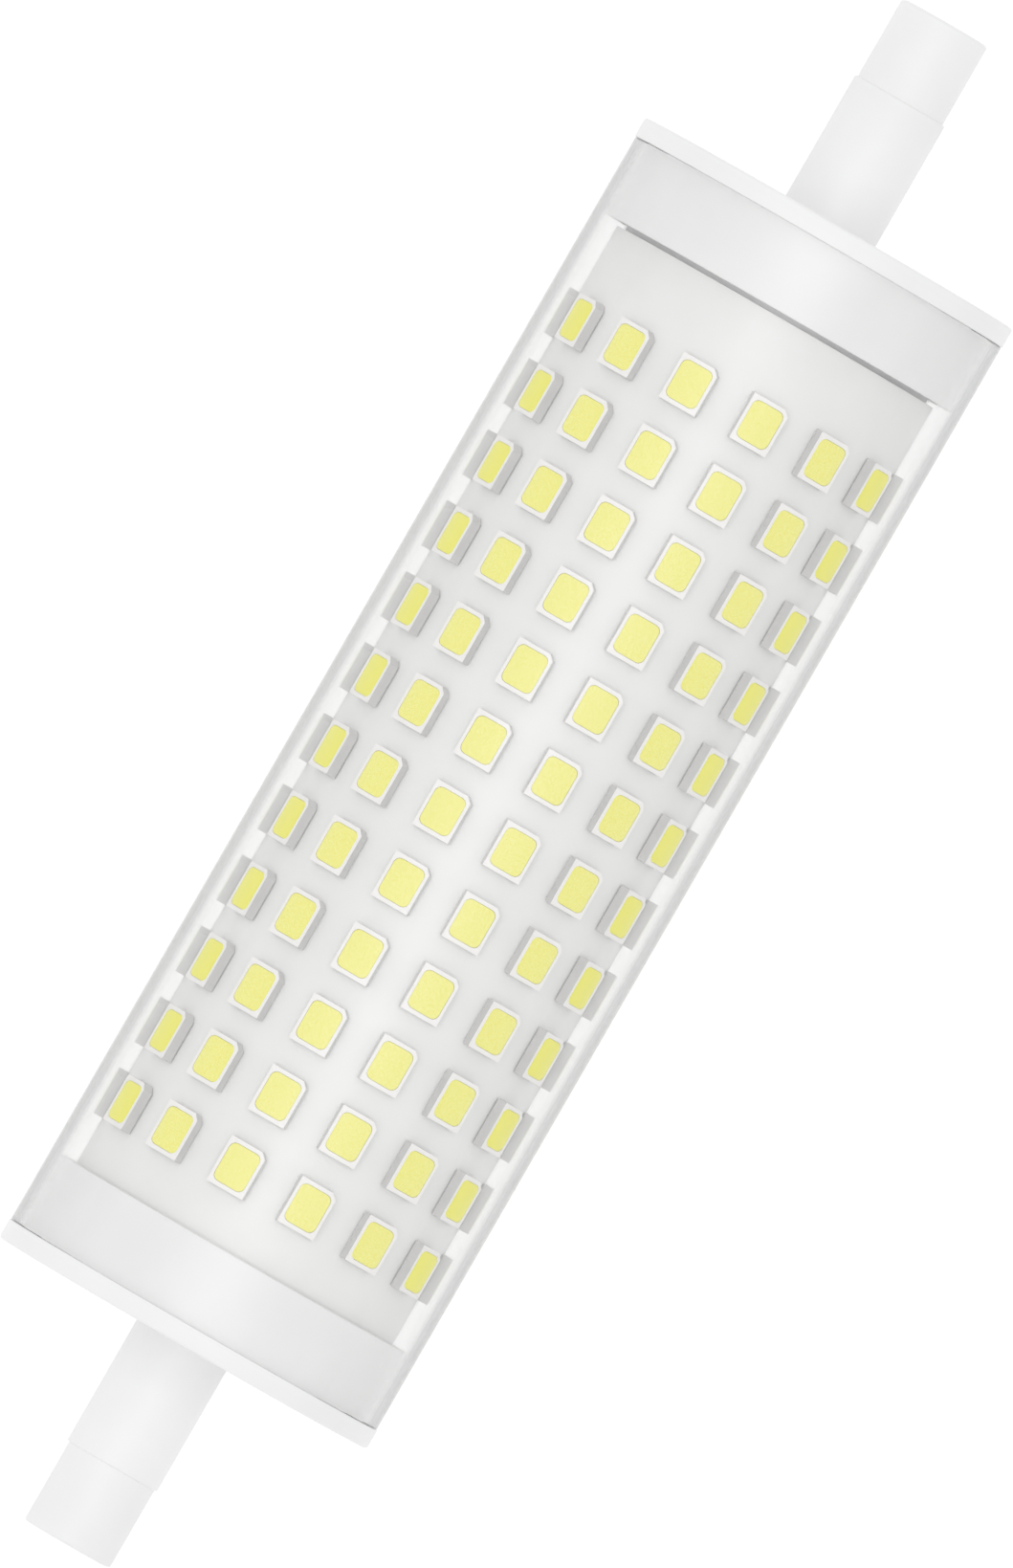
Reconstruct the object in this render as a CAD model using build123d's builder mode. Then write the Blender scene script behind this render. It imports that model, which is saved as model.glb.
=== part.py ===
"""Double-ended linear LED lamp: a clear tube over a rolled board of LEDs, with a stepped cap at each end.

The lamp lies along X with its origin at its centre. +Z is the side where the first and the last column
of LEDs lie either side of the middle, and the seam of the rolled board is at the back.
"""

from build123d import *

import os
from math import sqrt

# Driving dimensions, in millimetres and degrees

# Lamp from tip to tip
overall_length = 118.0

# Clear tube
tube_diameter = 28.4
tube_wall = 0.7
tube_end_clearance = 0.02

# End cap, outside
flange_lip = 0.05
flange_thickness = 1.43
stem_diameter = 6.95
stem_length = 9.53
tip_diameter = 6.6
tip_length = 6.06

# End cap, inside the tube
skirt_clearance = 0.05
skirt_wall = 1.0
skirt_depth = 5.5
spigot_clearance = 0.05
spigot_depth = 8.0
spigot_side_count = 8
spigot_corner_wall = 1.6
spigot_foot_drop = 2.4
slot_back_wall = 0.9
slot_clearance = 0.05

# Contact pin at the bottom of a recess in the tip
recess_diameter = 4.2
recess_depth = 1.9
contact_diameter = 3.4
contact_length = 3.5
contact_clearance = 0.05

# LED board, rolled into a cylinder
board_thickness = 0.5
board_skirt_clearance = 0.2
board_end_gap = 0.34
board_tuck = 1.66
board_seam_width = 0.3

# LED package
led_columns = 15
led_row_pitch = 5.5
led_row_margin = 5.0
led_length = 3.5
led_width = 2.8
led_height = 0.68
led_corner_chamfer = 0.45
led_seat_clearance = 0.02
led_rim_length = 0.32
led_rim_width = 0.24
led_pocket_depth = 0.4
phosphor_clearance = 0.01
phosphor_fill = 0.36

# Driver board inside the rolled LED board
driver_board_thickness = 1.6
driver_board_end_clearance = 0.1
pin_hole_clearance = 0.1
part_seat_clearance = 0.05
part_gap = 1.5
pin_tail = 0.8

# Wires and pins
contact_lead_size = 1.0
contact_lead_foot = 8.0
led_pin_size = 0.64
led_pin_spacing = 2.54
led_notch_width = 4.2
part_pin_size = 0.6

# Parts on the driver board
fuse_length = 8.4
fuse_width = 4.3
fuse_height = 7.7
fuse_pitch = 5.08
film_length = 10.0
film_width = 3.5
film_height = 7.0
film_pitch = 7.5
choke_length = 9.5
choke_width = 6.0
choke_height = 7.0
choke_core_height = 4.5
choke_bobbin_length = 6.0
choke_pitch = 5.0
capacitor_diameter = 8.0
capacitor_length = 12.0
capacitor_pitch = 3.5
capacitor_pin_reach = 1.3
rectifier_length = 4.7
rectifier_width = 4.1
rectifier_height = 1.5
rectifier_foot_pitch = 2.54
rectifier_foot_count = 2
chip_length = 4.9
chip_width = 3.9
chip_height = 1.4
chip_foot_pitch = 1.27
chip_foot_count = 4
mould_draft_angle = 7.0
foot_width = 0.4
foot_thickness = 0.2
foot_reach = 0.9
foot_height = 0.7

# Stations along the lamp, worked out from the sizes above
tip_end_x = overall_length / 2
stem_end_x = tip_end_x - tip_length
flange_outer_x = stem_end_x - stem_length
flange_inner_x = flange_outer_x - flange_thickness
skirt_end_x = flange_inner_x - skirt_depth
recess_floor_x = tip_end_x - recess_depth
contact_face_x = recess_floor_x - contact_clearance
contact_tail_x = contact_face_x - contact_length

# Radii, from the tube inwards
flange_radius = tube_diameter / 2 + flange_lip
tube_inner_radius = tube_diameter / 2 - tube_wall
skirt_outer_radius = tube_inner_radius - skirt_clearance
skirt_inner_radius = skirt_outer_radius - skirt_wall
board_outer_radius = skirt_inner_radius - board_skirt_clearance
board_inner_radius = board_outer_radius - board_thickness
spigot_outer_radius = board_inner_radius - spigot_clearance
contact_bore_radius = contact_diameter / 2 + contact_clearance
led_seat_radius = board_outer_radius + led_seat_clearance

# LED board: one end stops short of the right skirt, the other is tucked under the left skirt
board_right_x = skirt_end_x - board_end_gap
board_left_x = -(skirt_end_x + board_tuck)
board_length = board_right_x - board_left_x
board_centre_x = (board_right_x + board_left_x) / 2
column_angle = 360 / led_columns
first_column_angle = column_angle / 2
led_rows = int((board_length - 2 * led_row_margin) / led_row_pitch) + 1
row_centres = [board_centre_x + led_row_pitch * (row - (led_rows - 1) / 2) for row in range(led_rows)]
seam_angle = first_column_angle + column_angle * (led_columns // 2 - 0.5)

# Driver board: the contact leads lie straight on it, and its edges lie in slots of the caps' spigots
driver_top_z = -contact_lead_size / 2 - part_seat_clearance
driver_bottom_z = driver_top_z - driver_board_thickness
driver_middle_z = (driver_top_z + driver_bottom_z) / 2
slot_half_width = sqrt(spigot_outer_radius**2 - driver_bottom_z**2) - slot_back_wall
driver_half_width = slot_half_width - slot_clearance
driver_half_length = flange_inner_x - driver_board_end_clearance
part_top_seat_z = driver_top_z + part_seat_clearance
part_bottom_seat_z = driver_bottom_z - part_seat_clearance
pin_bottom_z = driver_bottom_z - pin_tail
part_hole_size = part_pin_size + 2 * pin_hole_clearance
led_hole_size = led_pin_size + 2 * pin_hole_clearance
led_pin_x = -(skirt_end_x + board_tuck / 2)
led_notch_x = led_pin_x + led_pin_size

# Zones of the driver board, in a row about its middle: line parts, filter parts, storage capacitor
line_zone_length = max(fuse_length, rectifier_length)
filter_zone_length = max(film_length, choke_length)
storage_zone_length = capacitor_length + capacitor_pin_reach
zones_length = line_zone_length + filter_zone_length + storage_zone_length + 2 * part_gap
line_zone_x = (line_zone_length - zones_length) / 2
filter_zone_x = line_zone_x + (line_zone_length + filter_zone_length) / 2 + part_gap
storage_start_x = filter_zone_x + filter_zone_length / 2 + part_gap
capacitor_base_x = storage_start_x + capacitor_length
capacitor_pin_x = capacitor_base_x + capacitor_pin_reach - part_pin_size / 2

# The fuse stands beside the rectifier's feet, and two filter parts lie side by side
fuse_y = rectifier_width / 2 + foot_reach + part_gap
choke_y = (choke_width - part_gap) / 2
film_y = choke_y - (choke_width + film_width) / 2 - part_gap


def cross_plane(x):
    """Plane across the lamp at x, with its first axis along Y and its second along Z."""
    return Plane.YZ.offset(x)


def level_plane(z):
    """Plane level with the driver board, at height z."""
    return Plane.XY.offset(z)


def pin_points(centre_x, centre_y, pitch):
    """Centres of a part's two pins, pitch apart along the lamp."""
    return [(centre_x - pitch / 2, centre_y), (centre_x + pitch / 2, centre_y)]


fuse_pins = pin_points(line_zone_x, fuse_y, fuse_pitch)
film_pins = pin_points(filter_zone_x, film_y, film_pitch)
choke_pins = pin_points(filter_zone_x, choke_y, choke_pitch)
capacitor_pins = [(capacitor_pin_x, -capacitor_pitch / 2), (capacitor_pin_x, capacitor_pitch / 2)]
part_pins = fuse_pins + film_pins + choke_pins + capacitor_pins
led_pins = [(led_pin_x, -led_pin_spacing / 2), (led_pin_x, led_pin_spacing / 2)]

os.makedirs("parts", exist_ok=True)

# Clear tube, cut square at both ends, held between the two flanges
with BuildPart() as clear_tube:
    with BuildSketch(Plane.YZ):
        Circle(tube_diameter / 2)
        Circle(tube_inner_radius, mode=Mode.SUBTRACT)
    extrude(amount=flange_inner_x - tube_end_clearance, both=True)
clear_tube.part.label = "clear_tube"
export_step(clear_tube.part, "parts/clear_tube.step")

# End cap, right: one moulding with flange, stem and tip outside, and skirt and spigot inside
with BuildPart() as end_cap_right:
    # Flange, stem and narrower tip, turned as one form round the bore for the contact and its recess
    with BuildSketch(Plane.XZ):
        with BuildLine():
            Polyline(
                (flange_inner_x, contact_bore_radius),
                (flange_inner_x, flange_radius),
                (flange_outer_x, flange_radius),
                (flange_outer_x, stem_diameter / 2),
                (stem_end_x, stem_diameter / 2),
                (stem_end_x, tip_diameter / 2),
                (tip_end_x, tip_diameter / 2),
                (tip_end_x, recess_diameter / 2),
                (recess_floor_x, recess_diameter / 2),
                (recess_floor_x, contact_bore_radius),
                close=True,
            )
        make_face()
    revolve(axis=Axis.X)
    # Skirt inside the clear tube
    with BuildSketch(cross_plane(flange_inner_x)):
        Circle(skirt_outer_radius)
        Circle(skirt_inner_radius, mode=Mode.SUBTRACT)
    extrude(amount=-skirt_depth)
    # Spigot that the LED board is rolled round: flat-sided inside, with a slot each side for the driver
    # board, and open below it for the LED pins
    with BuildSketch(cross_plane(flange_inner_x)):
        Circle(spigot_outer_radius)
        RegularPolygon(
            spigot_outer_radius - spigot_corner_wall,
            spigot_side_count,
            rotation=180 / spigot_side_count,
            mode=Mode.SUBTRACT,
        )
        with Locations((0, driver_middle_z)):
            Rectangle(
                2 * slot_half_width,
                driver_board_thickness + 2 * slot_clearance,
                mode=Mode.SUBTRACT,
            )
        with Locations((0, driver_middle_z - spigot_foot_drop)):
            Rectangle(
                2 * spigot_outer_radius,
                spigot_outer_radius,
                align=(Align.CENTER, Align.MAX),
                mode=Mode.SUBTRACT,
            )
    extrude(amount=-spigot_depth)
end_cap_right.part.label = "end_cap_right"
export_step(end_cap_right.part, "parts/end_cap_right.step")

# End cap, left: the same moulding turned about
with BuildPart() as end_cap_left:
    add(end_cap_right.part, rotation=(0, 0, 180))
end_cap_left.part.label = "end_cap_left"
export_step(end_cap_left.part, "parts/end_cap_left.step")

# Contact, right: a plated pin whose face shows at the bottom of the recess
with BuildPart() as contact_right:
    with BuildSketch(cross_plane(contact_tail_x)):
        Circle(contact_diameter / 2)
    extrude(amount=contact_length)
contact_right.part.label = "contact_right"
export_step(contact_right.part, "parts/contact_right.step")

# Contact, left
with BuildPart() as contact_left:
    add(contact_right.part, rotation=(0, 0, 180))
contact_left.part.label = "contact_left"
export_step(contact_left.part, "parts/contact_left.step")

# LED board: a thin metal-backed sheet, rolled round the spigots of both caps, open along its seam,
# with a notch for the LED pins
with BuildPart() as led_board:
    with BuildSketch(cross_plane(board_left_x)):
        Circle(board_outer_radius)
        Circle(board_inner_radius, mode=Mode.SUBTRACT)
        with PolarLocations(board_outer_radius, 1, start_angle=90 + seam_angle):
            Rectangle(board_outer_radius, board_seam_width, mode=Mode.SUBTRACT)
    extrude(amount=board_length)
    with BuildSketch(Plane.XY):
        with Locations((board_left_x, 0)):
            Rectangle(2 * (led_notch_x - board_left_x), led_notch_width)
    extrude(amount=-board_outer_radius, mode=Mode.SUBTRACT)
led_board.part.label = "led_board"
export_step(led_board.part, "parts/led_board.step")

# One column of LED housings at the top of the lamp: a low box with one cut corner and an open pocket
half_length = led_length / 2
half_width = led_width / 2
housing_outline = [
    (-half_length, -half_width),
    (half_length - led_corner_chamfer, -half_width),
    (half_length, -half_width + led_corner_chamfer),
    (half_length, half_width),
    (-half_length, half_width),
]
pocket_length = led_length - 2 * led_rim_length
pocket_width = led_width - 2 * led_rim_width
row_points = [(x, 0) for x in row_centres]
led_top_radius = led_seat_radius + led_height
pocket_floor_radius = led_top_radius - led_pocket_depth
with BuildPart() as housing_column:
    with BuildSketch(level_plane(led_seat_radius)):
        with Locations(*row_points):
            Polygon(*housing_outline)
    extrude(amount=led_height)
    with BuildSketch(level_plane(led_top_radius)):
        with Locations(*row_points):
            Rectangle(pocket_length, pocket_width)
    extrude(amount=-led_pocket_depth, mode=Mode.SUBTRACT)

# One column of phosphor fills, a little below the rims of their pockets
with BuildPart() as phosphor_column:
    with BuildSketch(level_plane(pocket_floor_radius)):
        with Locations(*row_points):
            Rectangle(pocket_length - 2 * phosphor_clearance, pocket_width - 2 * phosphor_clearance)
    extrude(amount=phosphor_fill)

# All columns, evenly round the board
for column in range(led_columns):
    turn = first_column_angle + column * column_angle
    housing_name = f"led_housings_{column + 1:02d}"
    with BuildPart() as led_housings:
        add(housing_column.part, rotation=(turn, 0, 0))
    led_housings.part.label = housing_name
    export_step(led_housings.part, f"parts/{housing_name}.step")
    phosphor_name = f"led_phosphor_{column + 1:02d}"
    with BuildPart() as led_phosphor:
        add(phosphor_column.part, rotation=(turn, 0, 0))
    led_phosphor.part.label = phosphor_name
    export_step(led_phosphor.part, f"parts/{phosphor_name}.step")

# Driver board: a flat board with a hole for every pin
with BuildPart() as driver_board:
    with BuildSketch(level_plane(driver_bottom_z)):
        Rectangle(2 * driver_half_length, 2 * driver_half_width)
        with Locations(*part_pins):
            Rectangle(part_hole_size, part_hole_size, mode=Mode.SUBTRACT)
        with Locations(*led_pins):
            Rectangle(led_hole_size, led_hole_size, mode=Mode.SUBTRACT)
    extrude(amount=driver_board_thickness)
driver_board.part.label = "driver_board"
export_step(driver_board.part, "parts/driver_board.step")

# Fuse: a moulded box
with BuildPart() as fuse:
    with BuildSketch(level_plane(part_top_seat_z)):
        with Locations((line_zone_x, fuse_y)):
            Rectangle(fuse_length, fuse_width)
    extrude(amount=fuse_height)
    with BuildSketch(level_plane(pin_bottom_z)):
        with Locations(*fuse_pins):
            Rectangle(part_pin_size, part_pin_size)
    extrude(amount=part_top_seat_z - pin_bottom_z)
fuse.part.label = "fuse"
export_step(fuse.part, "parts/fuse.step")

# Film capacitor: a cast box
with BuildPart() as film_capacitor:
    with BuildSketch(level_plane(part_top_seat_z)):
        with Locations((filter_zone_x, film_y)):
            Rectangle(film_length, film_width)
    extrude(amount=film_height)
    with BuildSketch(level_plane(pin_bottom_z)):
        with Locations(*film_pins):
            Rectangle(part_pin_size, part_pin_size)
    extrude(amount=part_top_seat_z - pin_bottom_z)
film_capacitor.part.label = "film_capacitor"
export_step(film_capacitor.part, "parts/film_capacitor.step")

# Choke: a bobbin through a core that is wider than it is tall
core_low_z = part_top_seat_z + (choke_height - choke_core_height) / 2
with BuildPart() as choke:
    with BuildSketch(level_plane(part_top_seat_z)):
        with Locations((filter_zone_x, choke_y)):
            Rectangle(choke_bobbin_length, choke_width)
    extrude(amount=choke_height)
    with BuildSketch(level_plane(core_low_z)):
        with Locations((filter_zone_x, choke_y)):
            Rectangle(choke_length, choke_width)
    extrude(amount=choke_core_height)
    with BuildSketch(level_plane(pin_bottom_z)):
        with Locations(*choke_pins):
            Rectangle(part_pin_size, part_pin_size)
    extrude(amount=part_top_seat_z - pin_bottom_z)
choke.part.label = "choke"
export_step(choke.part, "parts/choke.step")

# Electrolytic capacitor: a can lying on the board, with two pins that bend down into it
capacitor_axis_z = part_top_seat_z + capacitor_diameter / 2
with BuildPart() as electrolytic_capacitor:
    with BuildSketch(cross_plane(storage_start_x)):
        with Locations((0, capacitor_axis_z)):
            Circle(capacitor_diameter / 2)
    extrude(amount=capacitor_length)
    with BuildSketch(cross_plane(capacitor_base_x)):
        with Locations((-capacitor_pitch / 2, capacitor_axis_z), (capacitor_pitch / 2, capacitor_axis_z)):
            Rectangle(part_pin_size, part_pin_size)
    extrude(amount=capacitor_pin_reach)
    with BuildSketch(level_plane(pin_bottom_z)):
        with Locations(*capacitor_pins):
            Rectangle(part_pin_size, part_pin_size)
    extrude(amount=capacitor_axis_z - pin_bottom_z)
electrolytic_capacitor.part.label = "electrolytic_capacitor"
export_step(electrolytic_capacitor.part, "parts/electrolytic_capacitor.step")


def foot_outline(body_width):
    """Side outline of one stepped foot, from inside the body down to the board and out."""
    inside = body_width / 2 - foot_reach
    bend = body_width / 2 + foot_reach / 2
    toe = body_width / 2 + foot_reach
    seat = part_bottom_seat_z
    return [
        (inside, seat - foot_height),
        (bend, seat - foot_height),
        (toe, seat - foot_thickness),
        (toe, seat),
        (bend, seat),
        (inside, seat - foot_height + foot_thickness),
    ]


def foot_stations(centre_x, pitch, count):
    """Positions along the lamp of one side's feet."""
    return [centre_x + pitch * (index - (count - 1) / 2) for index in range(count)]


# Bridge rectifier: a moulded block under the board with two feet a side
with BuildPart() as bridge_rectifier:
    with BuildSketch(level_plane(part_bottom_seat_z)):
        with Locations((line_zone_x, 0)):
            Rectangle(rectifier_length, rectifier_width)
    extrude(amount=-rectifier_height, taper=mould_draft_angle)
    for foot_x in foot_stations(line_zone_x, rectifier_foot_pitch, rectifier_foot_count):
        with BuildSketch(cross_plane(foot_x)):
            Polygon(*foot_outline(rectifier_width))
            mirror(about=Plane.YZ)
        extrude(amount=foot_width / 2, both=True)
bridge_rectifier.part.label = "bridge_rectifier"
export_step(bridge_rectifier.part, "parts/bridge_rectifier.step")

# Driver chip: a moulded block under the board with four feet a side
driver_chip_x = storage_start_x + storage_zone_length / 2
with BuildPart() as driver_chip:
    with BuildSketch(level_plane(part_bottom_seat_z)):
        with Locations((driver_chip_x, 0)):
            Rectangle(chip_length, chip_width)
    extrude(amount=-chip_height, taper=mould_draft_angle)
    for foot_x in foot_stations(driver_chip_x, chip_foot_pitch, chip_foot_count):
        with BuildSketch(cross_plane(foot_x)):
            Polygon(*foot_outline(chip_width))
            mirror(about=Plane.YZ)
        extrude(amount=foot_width / 2, both=True)
driver_chip.part.label = "driver_chip"
export_step(driver_chip.part, "parts/driver_chip.step")

# Contact lead, right: a square wire from the tail of the contact pin, straight onto the driver board
contact_lead_start_x = contact_tail_x - contact_clearance
contact_lead_end_x = flange_inner_x - contact_lead_foot
with BuildPart() as contact_lead_right:
    with BuildSketch(cross_plane(contact_lead_end_x)):
        Rectangle(contact_lead_size, contact_lead_size)
    extrude(amount=contact_lead_start_x - contact_lead_end_x)
contact_lead_right.part.label = "contact_lead_right"
export_step(contact_lead_right.part, "parts/contact_lead_right.step")

# Contact lead, left
with BuildPart() as contact_lead_left:
    add(contact_lead_right.part, rotation=(0, 0, 180))
contact_lead_left.part.label = "contact_lead_left"
export_step(contact_lead_left.part, "parts/contact_lead_left.step")

# LED pins: square header pins, straight down from the driver board into the notch of the LED board
led_pin_top_z = driver_top_z + pin_tail
led_pin_end_z = -sqrt(board_outer_radius**2 - ((led_pin_spacing + led_pin_size) / 2) ** 2)
for name, point in zip(("led_pin_positive", "led_pin_negative"), led_pins):
    with BuildPart() as led_pin:
        with BuildSketch(level_plane(led_pin_end_z)):
            with Locations(point):
                Rectangle(led_pin_size, led_pin_size)
        extrude(amount=led_pin_top_z - led_pin_end_z)
    led_pin.part.label = name
    export_step(led_pin.part, f"parts/{name}.step")
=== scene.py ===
"""Dresses a double-ended linear LED lamp: clear tube, moulded caps, rolled board and its columns of LEDs.

Lengths are in metres, in the lamp's own frame: the lamp lies along X with its origin at its centre. It
rests on a plain white floor and is seen from straight above, turned so that +X points to the upper right.
"""

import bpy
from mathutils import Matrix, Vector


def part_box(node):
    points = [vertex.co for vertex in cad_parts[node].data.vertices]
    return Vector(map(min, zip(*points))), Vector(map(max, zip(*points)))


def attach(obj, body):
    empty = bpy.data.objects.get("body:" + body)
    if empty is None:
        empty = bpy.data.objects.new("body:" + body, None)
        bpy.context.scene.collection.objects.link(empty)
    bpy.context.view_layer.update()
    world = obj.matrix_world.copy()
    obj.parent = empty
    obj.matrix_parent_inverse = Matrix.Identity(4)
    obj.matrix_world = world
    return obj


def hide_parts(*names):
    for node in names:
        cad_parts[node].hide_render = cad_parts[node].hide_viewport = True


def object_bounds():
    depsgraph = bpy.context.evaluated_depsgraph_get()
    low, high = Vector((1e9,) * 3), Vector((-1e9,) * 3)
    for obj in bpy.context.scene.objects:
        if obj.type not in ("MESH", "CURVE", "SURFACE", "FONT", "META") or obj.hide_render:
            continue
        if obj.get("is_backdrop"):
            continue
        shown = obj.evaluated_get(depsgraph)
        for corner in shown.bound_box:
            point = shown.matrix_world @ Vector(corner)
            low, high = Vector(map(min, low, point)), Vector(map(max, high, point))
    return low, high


bl_info = {
    "name": "Linear LED Lamp",
    "version": (1, 0, 0),
    "blender": (4, 5, 0),
    "location": "3D View > Sidebar > Lamp",
    "description": "Builds the finished surfaces of a double-ended linear LED lamp on a plain stage",
    "category": "Object",
}

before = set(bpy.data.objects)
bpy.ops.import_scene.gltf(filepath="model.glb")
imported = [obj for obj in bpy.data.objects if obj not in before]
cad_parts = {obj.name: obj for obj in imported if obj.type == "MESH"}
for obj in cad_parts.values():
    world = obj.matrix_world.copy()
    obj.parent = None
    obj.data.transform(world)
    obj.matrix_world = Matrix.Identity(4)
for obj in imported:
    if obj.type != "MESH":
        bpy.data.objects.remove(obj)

import math

import bmesh
import bpy
import numpy as np
from bpy.props import FloatProperty, FloatVectorProperty, IntProperty, PointerProperty
from bpy.types import Operator, Panel, PropertyGroup
from mathutils import Vector

MM = 0.001
ENDS = (("left", -1.0), ("right", 1.0))
# How slanted the tube's glass is seen, from 0 facing to 1 edge-on, and how far painted shade darkens it there
GLASS_SLANT_SHADE = ((0.0, 0.0), (0.17, 0.02), (0.4, 0.17), (0.57, 0.3), (0.65, 0.45), (0.71, 0.89))
# Share of the light that each skin of the tube's glass lets straight through
GLASS_CLEARNESS = 0.97
# Rings of an LED's fill inside its rim, as (share of the rim's size, share of the dip in the middle)
FILL_RINGS = ((0.86, 0.7), (0.55, 1.0))
# Side walls of a housing, which get painted shade: the attribute that marks them, and the share of its height
# that the middles of their faces lie below
WALL_SHADE_MARK = "side_wall"
WALL_SHARE = 0.6
# Points of a mesh that lie closer than this become one, in metres
SAME_POINT = 1.0e-7
# Edges of the board that turn by more than this are its cut edges, in degrees
CUT_EDGE_TURN = 50.0
# Finish of each solid of the frame that stays as it is, inside the lamp
HIDDEN_FINISHES = {
    "driver_board": "driver_board_green",
    "bridge_rectifier": "chip_black",
    "driver_chip": "chip_black",
    "electrolytic_capacitor": "capacitor_sleeve",
    "film_capacitor": "film_case",
    "choke": "winding_varnish",
    "fuse": "fuse_case",
    "contact_lead_left": "lead_insulation",
    "contact_lead_right": "lead_insulation",
    "led_pin_positive": "contact_metal",
    "led_pin_negative": "contact_metal",
}


def length(name, description, millimetres):
    """A length that a user can set, given in millimetres and kept in metres."""
    return FloatProperty(
        name=name, description=description, default=millimetres * MM, min=0.0, unit="LENGTH", precision=5
    )


def share(name, description, default, highest=1.0):
    """A plain number that a user can set, from zero up."""
    return FloatProperty(name=name, description=description, default=default, min=0.0, max=highest)


def whole(name, description, default, lowest):
    """A whole number that a user can set."""
    return IntProperty(name=name, description=description, default=default, min=lowest)


def colour(name, description, default):
    """A colour that a user can set."""
    return FloatVectorProperty(
        name=name, description=description, default=default, size=3, min=0.0, max=1.0, subtype="COLOR"
    )


class LampSizes(PropertyGroup):
    """Sizes of the lamp's pieces that the frame's boxes don't give."""

    tube_wall: length("Tube wall", "Thickness of the clear tube's wall", 0.7)
    tube_edge: length("Tube edge", "Rounding of the clear tube's two ends", 0.12)
    flange_diameter: length("Flange diameter", "Width of the disc that closes the tube", 28.5)
    flange_thickness: length("Flange thickness", "Thickness of the disc that closes the tube", 1.43)
    flange_edge: length("Flange edge", "Rounding of the flange's outer edge", 0.2)
    stem_diameter: length("Stem diameter", "Width of the stem on the flange", 6.95)
    stem_foot: length("Stem foot", "Rounding where the stem meets the flange", 0.06)
    shoulder_edge: length("Shoulder edge", "Rounding of the shoulder between stem and tip", 0.13)
    tip_diameter: length("Tip diameter", "Width of the tip", 6.6)
    tip_length: length("Tip length", "Length of the tip", 6.06)
    tip_edge: length("Tip edge", "Rounding of the tip's outer edge", 0.25)
    recess_diameter: length("Recess diameter", "Width of the recess in the tip", 4.2)
    recess_depth: length("Recess depth", "Depth of the recess down to the contact", 1.9)
    mouth_edge: length("Mouth edge", "Rounding of the mouth of the recess", 0.15)
    contact_clearance: length("Contact clearance", "Gap between the contact and its bore", 0.05)
    stem_length: length("Stem length", "Length of the stem", 9.53)
    skirt_wall: length("Skirt wall", "Thickness of the skirt inside the tube", 1.0)
    skirt_depth: length("Skirt depth", "How far the skirt reaches into the tube", 5.5)
    skirt_clearance: length("Skirt clearance", "Gap between the skirt and the tube", 0.05)
    skirt_edge: length("Skirt edge", "Rounding of the skirt's inner end", 0.12)
    spigot_clearance: length("Spigot clearance", "Gap between the spigot and the board rolled round it", 0.05)
    spigot_corner_wall: length("Spigot wall", "Wall of the spigot at the corners of its inside", 1.6)
    spigot_foot_drop: length("Spigot foot drop", "From the driver board's middle to the spigot's foot", 2.4)
    slot_back_wall: length("Slot back wall", "Wall of the spigot behind a slot for the driver board", 0.9)
    slot_clearance: length("Slot clearance", "Gap above and below the driver board in its slots", 0.05)
    board_thickness: length("Board thickness", "Thickness of the rolled board", 0.5)
    board_seam: length("Board seam", "Width of the gap where the rolled board's edges meet", 0.3)
    board_edge: length("Board edge", "Rounding of the board's cut edges", 0.04)
    notch_width: length("Notch width", "Width of the board's notch for the LED pins", 4.2)
    notch_reach: length("Notch reach", "Length of the board's notch for the LED pins", 1.47)
    led_pitch: length("LED pitch", "Distance from one LED of a column to the next", 5.5)
    led_cut: length("LED cut corner", "Length of the cut corner of an LED", 0.41)
    led_corner: length("LED corner", "Rounding of an LED's other corners", 0.05)
    led_edge: length("LED edge", "Bevel round the top of an LED's housing", 0.02)
    led_draft: length("LED draft", "How much an LED's housing narrows from foot to top", 0.01)
    window_corner: length("Window corner", "Rounding of the corners of an LED's window", 0.45)
    window_lip: length("Window lip", "Bevel round the window of an LED", 0.02)
    phosphor_dip: length("Phosphor dip", "How far the phosphor sinks from its rim to its middle", 0.03)
    contact_edge: length("Contact edge", "Rounding of the contact's face", 0.25)
    contact_dimple: length("Contact dimple", "Depth of the dimple in the contact's face", 0.2)
    led_columns: whole("LED columns", "Columns of LEDs round the board", 15, 3)
    led_rows: whole("LEDs a column", "LEDs in each column", 12, 2)
    round_steps: whole("Round steps", "Steps round a turned piece", 240, 24)


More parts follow.
